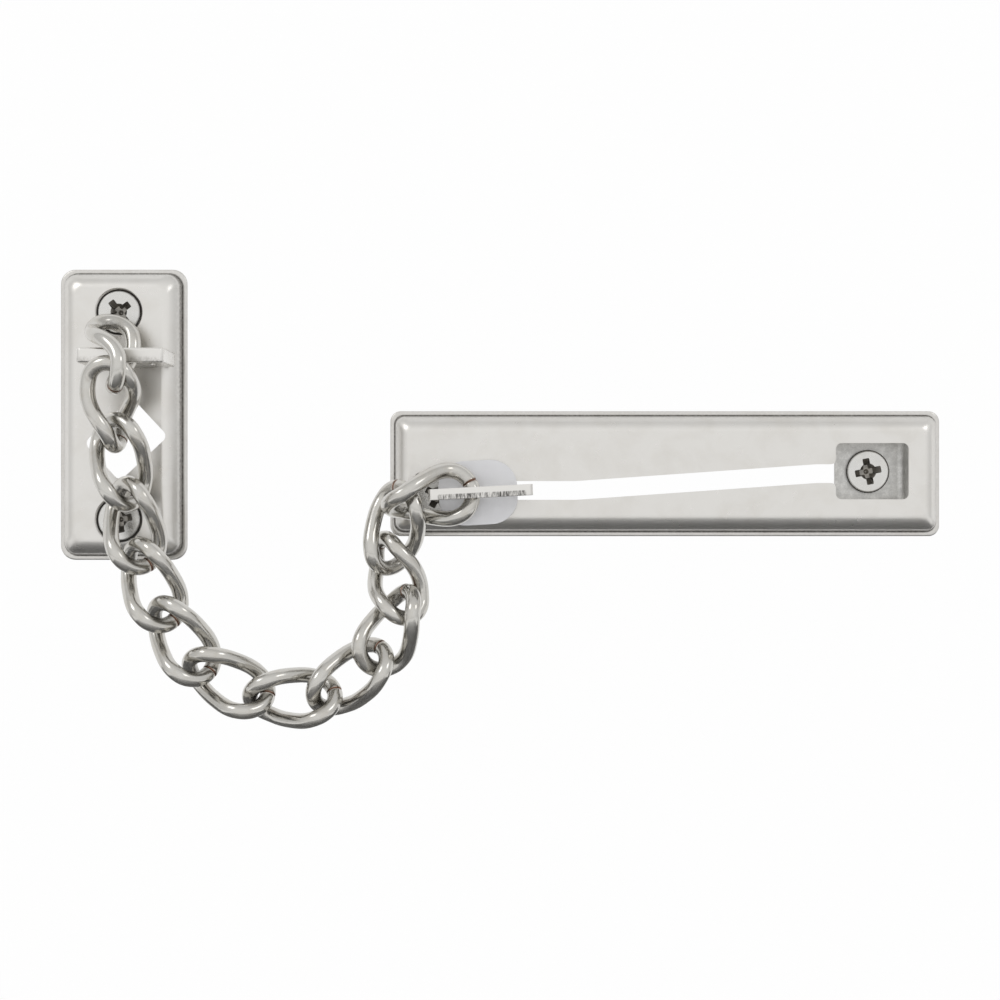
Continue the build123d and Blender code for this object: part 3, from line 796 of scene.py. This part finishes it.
def screw_body(name):
    """Countersunk wood screw at the origin, its head's top at y = 0 facing the viewer, with a rolled thread."""
    screws = bpy.context.scene.door_chain_screws
    head = screws.head / 2
    shank = screws.shank / 2
    root = screws.root / 2
    slope = tan(radians(screws.angle / 2))
    neck = screws.neck / 2
    head_depth = 0.25 + (head - neck) / slope
    neck_end = head_depth + 2.9
    disc = head - 0.3
    select_only()
    bpy.ops.mesh.primitive_circle_add(
        vertices=72, radius=neck, fill_type="NGON", rotation=(pi / 2, 0, 0), location=(0, neck_end, 0))
    body = bpy.context.object
    body.name = name
    bpy.ops.object.transform_apply()
    edit(body)
    radius, level = neck, neck_end
    steps = [
        (neck, head_depth), (head, 0.32), (head, 0.26), (head - 0.12, 0.2), (head - 0.3, 0.12), (disc, 0.03),
        (disc - 0.08, 0),
    ]
    for next_radius, next_level in steps:
        bpy.ops.mesh.extrude_region_move(TRANSFORM_OT_translate={"value": (0, next_level - level, 0)})
        bpy.ops.transform.resize(
            value=(next_radius / radius, 1, next_radius / radius), center_override=(0, next_level, 0))
        radius, level = next_radius, next_level
    face_out()

    recess_depth = 1.7
    for way in (0, 90):
        arm = rounded_sheet("arm", (0, 0), screws.recess, 1.3, 0.2, 0.01, 4)
        press_back(arm, recess_depth, 0.5, 0.72)
        turn(arm, way, (0, 0))
        cut(body, arm)
    select_only()
    bpy.ops.mesh.primitive_cone_add(
        vertices=32, radius1=1.55, radius2=0.12, depth=2.3, location=(0, 1.14, 0), rotation=(-pi / 2, 0, 0))
    cut(body, bpy.context.object)
    break_edges(body, 0.05, angle=30)

    # The thread: one turn of its profile, screwed along the shank.
    thread_start = neck_end - 0.3
    crest = shank - 0.02
    turns = int((screws.length - 1.5 - thread_start) / screws.pitch)
    pitch = (screws.length - thread_start) / turns
    select_only()
    bpy.ops.mesh.primitive_circle_add(vertices=5, fill_type="NOTHING", radius=1)
    thread = bpy.context.object
    profile = [(root, 0), (root, 0.52), (crest, 0.72), (crest, 0.80), (root, 1.0)]
    for vertex, (distance, share) in zip(thread.data.vertices, profile):
        vertex.co = (distance, 0, share * pitch)
    pick(thread, "edges", lambda edge: set(edge.vertices) == {0, 4}, "EDGE")
    bpy.ops.mesh.delete(type="EDGE")
    set_mode("OBJECT")
    apply_modifier(
        thread, "SCREW", axis="Z", angle=2 * pi, screw_offset=pitch, iterations=turns, steps=28, render_steps=28,
        use_merge_vertices=True, merge_threshold=0.002, use_normal_calculate=True)
    thread.data.transform(Matrix.Rotation(radians(-90), 4, "X"))
    point = 6.0
    for vertex in thread.data.vertices:
        along = min(vertex.co.y + thread_start, screws.length)
        share = min(1.0, max(0.06, (screws.length - along) / point) ** 0.75)
        vertex.co = (vertex.co.x * share, along, vertex.co.z * share)
    edit(thread, everything=False)
    bpy.ops.mesh.select_mode(type="EDGE")
    bpy.ops.mesh.select_non_manifold()
    bpy.ops.mesh.fill_holes(sides=64)
    face_out()
    join(body, thread)
    # Painted shade of the gap between head and seat, with some soiling, darkens the groove round the head.
    groove = head - disc
    paint(body, "soil", lambda place: 0.0 if place.y > 0.5 else max(
        0.0, min(1.0, ((place.x ** 2 + place.z ** 2) ** 0.5 - disc + 0.02) / (0.3 * groove))))
    # Faces in the cross recess take a darker nickel: painted shade in the recess.
    for face in body.data.polygons:
        centre = face.center
        inside = centre.y > 0.03 and (centre.x ** 2 + centre.z ** 2) ** 0.5 < screws.recess / 2 + 0.05
        if inside and centre.y < recess_depth + 0.8:
            face.material_index = 1
    return body


def press_back(piece, depth, length_share, width_share):
    """Turn a flat outline into a tapered block that goes back from the viewer."""
    edit(piece)
    bpy.ops.mesh.duplicate()
    bpy.ops.transform.translate(value=(0, depth, 0))
    bpy.ops.transform.resize(value=(length_share, 1, width_share), center_override=(0, depth, 0))
    bpy.ops.mesh.select_all(action="SELECT")
    bpy.ops.mesh.select_mode(type="EDGE")
    bpy.ops.mesh.bridge_edge_loops()
    face_out()


class DOORCHAIN_OT_screws(bpy.types.Operator):
    """Turn, recess and thread the countersunk screws and set them in their seats"""
    bl_idname = "door_chain.screws"
    bl_label = "Screws"

    def execute(self, context):
        sizes = context.scene.door_chain_plates
        _, key, window = track_openings(sizes, solid_box("track_plate")[2])
        upper, lower = HOLDER_SCREWS
        pattern = screw_body("screw_pattern")
        # Level of each pair's heads, and the place of each screw with the turn of its cross.
        pairs = {
            "holder_screws": (-4.9, [((0, upper), 37), ((0, lower), 12)]),
            "track_screws": (-1.8, [(key, 11), (window, 62)]),
        }
        bright = nickel("Bright nickel on cold-headed steel", linear("d6d5d2"), 0.28, 3.0, 0.12, 0.3, 0.001)
        # The recess nickel is darker than the head's: painted shade in the recess.
        recess = nickel("Dull nickel in the cross recess", linear("8f8c87"), 0.4, 1.0, 0.3, 0.2, 0.001)
        for finish in (bright, recess):
            pattern.data.materials.append(finish)
        for node, (level, seats) in pairs.items():
            copies = []
            for (x, z), degrees in seats:
                screw = pattern.copy()
                screw.data = pattern.data.copy()
                context.collection.objects.link(screw)
                screw.data.transform(
                    Matrix.Translation((x, level, z)) @ Matrix.Rotation(radians(-degrees), 4, "Y"))
                copies.append(screw)
            pair = join(*copies)
            pair.name = node + "_threaded"
            complete(pair, "wall_parts", node, "screw_nickel")
        bpy.data.objects.remove(pattern)
        return {"FINISHED"}


# Chain

def link_shape(chain):
    """Lengths that make up a link: crown and side arcs of its wire's middle line, and a quarter of its run."""
    crown_x = (chain.inside + chain.wire) / 2
    side_y = chain.wire + chain.play / 2
    crown = chain.wire + chain.crown
    crown_centre = crown_x - crown
    side = (crown_centre ** 2 + side_y ** 2 - crown ** 2) / (2 * (side_y - crown))
    side_angle = asin(crown_centre / (side - crown))
    crown_run = crown * (pi / 2 - side_angle)
    return crown_x, side_y, crown, crown_centre, side, side_angle, crown_run, crown_run + side * side_angle


def wire_point(chain, fullness, run):
    """Middle of a link's wire at a run from its far crown, and the twist there."""
    crown_x, side_y, crown, crown_centre, side, side_angle, crown_run, quarter_run = link_shape(chain)
    quarter, rest = divmod(run % (4 * quarter_run), quarter_run)
    quarter = int(quarter)
    from_crown = rest if quarter in (0, 2) else quarter_run - rest
    if from_crown < crown_run:
        angle = from_crown / crown
        x, y = crown_centre + crown * cos(angle), crown * sin(angle)
    else:
        angle = side_angle - (from_crown - crown_run) / side
        x, y = side * sin(angle), side_y - side * (1 - cos(angle))
    y *= 1 + fullness * sin(pi * x / chain.full_span) ** 2
    x = -x if quarter in (1, 2) else x
    y = -y if quarter in (2, 3) else y
    reach = x / (crown_x - 0.4 * crown)
    twist = -radians(chain.twist / 2) * sin(pi / 2 * max(-1, min(1, reach)))
    return Vector((x, y * cos(twist), y * sin(twist))), Vector((0, -sin(twist), cos(twist)))


def wire_link(name, chain, fullness):
    """One link in its own frame: a ring of round wire bent up and twisted, with the line of its butt joint."""
    sides = 28
    whole = 4 * link_shape(chain)[-1]
    notch = [(-0.4, 1.0), (-0.2, 0.985), (-0.12, 0.95), (-0.05, 0.87), (0.05, 0.87), (0.12, 0.95), (0.2, 0.985)]
    notch.append((0.4, 1.0))
    plain = chain.rings - len(notch)
    gap = notch[-1][0]
    rings = notch + [(gap + (whole - 2 * gap) * (step + 1) / (plain + 1), 1.0) for step in range(plain)]
    select_only()
    bpy.ops.mesh.primitive_torus_add(
        major_segments=len(rings), minor_segments=sides, major_radius=chain.inside / 2, minor_radius=chain.wire / 2)
    link = bpy.context.object
    link.name = name
    for ring, (offset, swell) in enumerate(rings):
        run = BUTT_JOINT + offset
        middle, up = wire_point(chain, fullness, run)
        along = wire_point(chain, fullness, run + 0.05)[0] - wire_point(chain, fullness, run - 0.05)[0]
        along.normalize()
        across = along.cross(up).normalized()
        up = across.cross(along)
        for side in range(sides):
            angle = 2 * pi * side / sides
            spoke = across * cos(angle) + up * sin(angle)
            link.data.vertices[ring * sides + side].co = middle + spoke * (chain.wire / 2 * swell)
    crown_x = link_shape(chain)[0]
    joint = link.data.attributes.new("joint", "FLOAT", "POINT")
    soil = link.data.attributes.new("soil", "FLOAT", "POINT")
    for number, vertex in enumerate(link.data.vertices):
        ring = number // sides
        joint.data[number].value = 0.95 if rings[ring][1] < 0.96 else 0.4 if rings[ring][1] < 0.99 else 0.0
        # Painted shade, with some soiling where the links rub, darkens each link's inner side near its crowns.
        middle, _ = wire_point(chain, fullness, BUTT_JOINT + rings[ring][0])
        inward = (vertex.co - middle).normalized().dot((-middle).normalized())
        nearness = max(0.0, min(1.0, (abs(middle.x) - (crown_x - 4.2)) / 3.0))
        soil.data[number].value = 0.45 * nearness * max(0.0, min(1.0, (inward + 0.1) / 0.9))
    edit(link)
    face_out()
    return link


def link_places(chain):
    """Where each link lies: its centre, its direction and the axis that its face looks along."""
    crown_x = link_shape(chain)[0]
    toward = Vector((0, -1, 0))
    leans = [Vector((cos(radians(lean)), 0, sin(radians(lean)))) for lean in LINK_LEAN]
    ways = [lean * cos(radians(tilt)) + toward * sin(radians(tilt)) for lean, tilt in zip(leans, LINK_TILT)]
    centres = [Vector(FIRST_LINK)]
    for joint, (play, side, depth) in enumerate(zip(JOINT_PLAY, JOINT_SIDE, JOINT_DEPTH)):
        along = (ways[joint] + ways[joint + 1]).normalized()
        across = Vector((-along.z, 0, along.x)).normalized()
        step = (ways[joint] + ways[joint + 1]) * crown_x - along * (chain.wire + play)
        centres.append(centres[-1] + step + across * side - toward * depth)
    places = []
    for lean, roll, way, centre in zip(LINK_LEAN, LINK_ROLL, ways, centres):
        upright = Vector((cos(radians(lean + 90)), 0, sin(radians(lean + 90))))
        facing = way.cross(upright)
        axis = facing * cos(radians(roll)) - upright * sin(radians(roll))
        places.append((centre, way, axis))
    return places


class DOORCHAIN_OT_chain(bpy.types.Operator):
    """Bend the links of the chain and hang each one in the one before it"""
    bl_idname = "door_chain.chain"
    bl_label = "Chain"

    def execute(self, context):
        chain = context.scene.door_chain_chain
        colour = context.scene.door_chain_colours.link[:]
        bright = nickel("Bright nickel on round wire", colour, 0.17, 2.5, 0.3, 0.6, 0.002, 0.2)
        for number, ((centre, way, axis), fullness) in enumerate(zip(link_places(chain), FULLNESS), start=1):
            body = f"link_{number:02d}"
            link = wire_link(body + "_wire", chain, fullness * chain.fullness)
            frame_of_link = Matrix((way, axis.cross(way), axis)).transposed().to_4x4()
            link.data.transform(Matrix.Translation(centre) @ frame_of_link)
            complete(link, body, "chain_" + body, "link_nickel", bright, smooth=60, flats=False)
        return {"FINISHED"}


# Studio

def studio_sheet(name, place, turned, length, width):
    """Flat sheet of the studio, its sizes in metres."""
    select_only()
    bpy.ops.mesh.primitive_plane_add(size=1, location=place, rotation=turned)
    sheet = bpy.context.object
    sheet.name = name
    sheet.scale = (length, width, 1)
    bpy.ops.object.transform_apply()
    return sheet


class DOORCHAIN_OT_stage(bpy.types.Operator):
    """Set up the pale backdrop, the soft light and the camera"""
    bl_idname = "door_chain.stage"
    bl_label = "Stage"

    def execute(self, context):
        studio = context.scene.door_chain_studio
        scene = context.scene
        backdrop = studio_sheet("studio_backdrop", (0.07, 0.07, 0.3), (pi / 2, 0, 0), 3.0, 1.2)
        lowest = min(vertex.co.z for vertex in backdrop.data.vertices)
        pick(backdrop, "vertices", lambda vertex: vertex.co.z < lowest + 0.001, "EDGE")
        cove, floor = 0.12, 1.2
        bend_edges(cove, 16, (0, 0, -1), (0, 1, 0))
        pull_edges(0, -floor, 0)
        set_mode("OBJECT")
        bpy.ops.object.shade_smooth()
        backdrop.data.materials.append(self.paper())

        world, tree = start_nodes(bpy.data.worlds.new("Soft studio"))
        place = add_node(tree, "TexCoord").outputs["Generated"]
        height = add_node(tree, "SeparateXYZ", {"Vector": place}).outputs
        # A large soft light behind the camera, which falls off toward the sides and more so below.
        front = add_node(
            tree, "MapRange", {"Value": height["Y"], "From Min": 0.0, "From Max": -0.9, "To Min": 0.7, "To Max": 1.0})
        level = add_node(
            tree, "MapRange",
            {"Value": height["Z"], "From Min": -0.75, "From Max": -0.1, "To Min": 0.4, "To Max": 1.0})
        shade = add_node(tree, "Math", {0: front, 1: level}, operation="MULTIPLY")
        glow = add_node(tree, "Background", {"Color": (1, 1, 1, 1), "Strength": shade})
        add_node(tree, "OutputWorld", {"Surface": glow})
        scene.world = world

        lamps = [
            ("left_softbox", (-0.36, -0.36, 0.38), 0.22, studio.lamp * 1.2),
            ("right_softbox", (0.5, -0.36, 0.32), 0.18, studio.lamp * 0.65),
        ]
        target = Vector((0.07, 0, -0.01))
        for name, place, size, power in lamps:
            bpy.ops.object.light_add(type="AREA", location=place)
            lamp = context.object
            lamp.name = name
            lamp.data.shape = "SQUARE"
            lamp.data.size = size
            lamp.data.energy = power
            lamp.rotation_euler = (target - Vector(place)).to_track_quat("-Z", "Y").to_euler()

        # Grey cards below, out of the light's way, draw the lower edges of the bright metal.
        cards = [
            ((0.07, -0.22, -0.3), (0, 0, 0), (0.9, 0.54)),
            ((0.07, 0.05, -0.2), (pi / 2, 0, 0), (0.9, 0.22)),
        ]
        card_stuff = self.grey_card()
        for number, (place, turned, (length, width)) in enumerate(cards, start=1):
            card = studio_sheet(f"studio_card_{number}", place, turned, length, width)
            card.data.materials.append(card_stuff)
            card.visible_camera = False
            card.visible_shadow = False
            card.visible_diffuse = False

        camera_data = bpy.data.cameras.new("Camera")
        camera = bpy.data.objects.new("Camera", camera_data)
        context.collection.objects.link(camera)
        camera_data.sensor_fit = "HORIZONTAL"
        camera_data.angle = studio.angle
        camera_data.clip_start, camera_data.clip_end = 0.01, 10
        camera.location = (0.0712, -studio.distance, -0.01615)
        camera.rotation_euler = (pi / 2, 0, 0)
        scene.camera = camera
        scene.view_settings.view_transform = "Standard"
        return {"FINISHED"}

    def grey_card(self):
        """Card sprayed grey, which pales toward its front edge so that no hard line shows in the metal."""
        material, tree = start_nodes(bpy.data.materials.new("Sprayed grey card"))
        place = add_node(tree, "TexCoord").outputs["Object"]
        along = add_node(tree, "SeparateXYZ", {"Vector": place}).outputs["Y"]
        tone = add_node(
            tree, "MapRange", {"Value": along, "From Min": -0.49, "From Max": 0.0, "To Min": 0.9, "To Max": 0.22})
        matt = add_node(tree, "BsdfDiffuse", {"Color": tone, "Roughness": 0.8})
        add_node(tree, "OutputMaterial", {"Surface": matt})
        return material

    def paper(self):
        """White seamless paper. It shows as plain white and still keeps part of the object's shadow. Its back is left
        clear, so that the object can be seen from there too."""
        material, tree = start_nodes(bpy.data.materials.new("White seamless paper"))
        matt = add_node(tree, "BsdfDiffuse", {"Color": linear("f2f2f2"), "Roughness": 0.8})
        glow = add_node(tree, "Emission", {"Color": (1, 1, 1, 1), "Strength": 1.0})
        ray = add_node(tree, "LightPath").outputs
        seen = add_node(tree, "Math", {0: ray["Is Camera Ray"], 1: ray["Is Glossy Ray"]}, operation="MAXIMUM")
        seen = add_node(tree, "Math", {0: seen, 1: ray["Is Transmission Ray"]}, operation="MAXIMUM")
        share = add_node(tree, "Math", {0: seen, 1: 0.97}, operation="MULTIPLY")
        mixed = add_node(tree, "MixShader", {0: share, 1: matt, 2: glow})
        back = add_node(tree, "NewGeometry").outputs["Backfacing"]
        sheet = add_node(tree, "MixShader", {0: back, 1: mixed, 2: add_node(tree, "BsdfTransparent")})
        add_node(tree, "OutputMaterial", {"Surface": sheet})
        return material


class DOORCHAIN_PT_panel(bpy.types.Panel):
    """Pieces and settings of the door chain"""
    bl_label = "Door Chain"
    bl_idname = "DOORCHAIN_PT_panel"
    bl_space_type = "VIEW_3D"
    bl_region_type = "UI"
    bl_category = "Door Chain"

    def draw(self, context):
        for operator in OPERATORS:
            self.layout.operator(operator.bl_idname)
        for name in SETTINGS:
            group = getattr(context.scene, name)
            box = self.layout.box()
            for setting in group.bl_rna.properties:
                if not setting.is_readonly and setting.identifier not in {"name"}:
                    box.prop(group, setting.identifier)


SETTINGS = {
    "door_chain_plates": PlateSizes,
    "door_chain_chain": ChainSizes,
    "door_chain_screws": ScrewSizes,
    "door_chain_colours": FinishColours,
    "door_chain_studio": StudioSettings,
}
OPERATORS = [
    DOORCHAIN_OT_holder_plate,
    DOORCHAIN_OT_track_plate,
    DOORCHAIN_OT_holder_lug,
    DOORCHAIN_OT_slider,
    DOORCHAIN_OT_screws,
    DOORCHAIN_OT_chain,
    DOORCHAIN_OT_stage,
]
CLASSES = [*SETTINGS.values(), *OPERATORS, DOORCHAIN_PT_panel]


def register():
    for piece in CLASSES:
        bpy.utils.register_class(piece)
    for name, group in SETTINGS.items():
        setattr(bpy.types.Scene, name, PointerProperty(type=group))


def unregister():
    for name in SETTINGS:
        delattr(bpy.types.Scene, name)
    for piece in reversed(CLASSES):
        bpy.utils.unregister_class(piece)


def main():
    register()
    bpy.ops.door_chain.stage()
    bpy.ops.door_chain.holder_plate()
    bpy.ops.door_chain.track_plate()
    bpy.ops.door_chain.holder_lug()
    bpy.ops.door_chain.slider()
    bpy.ops.door_chain.screws()
    bpy.ops.door_chain.chain()


if __name__ == "__main__":
    main()
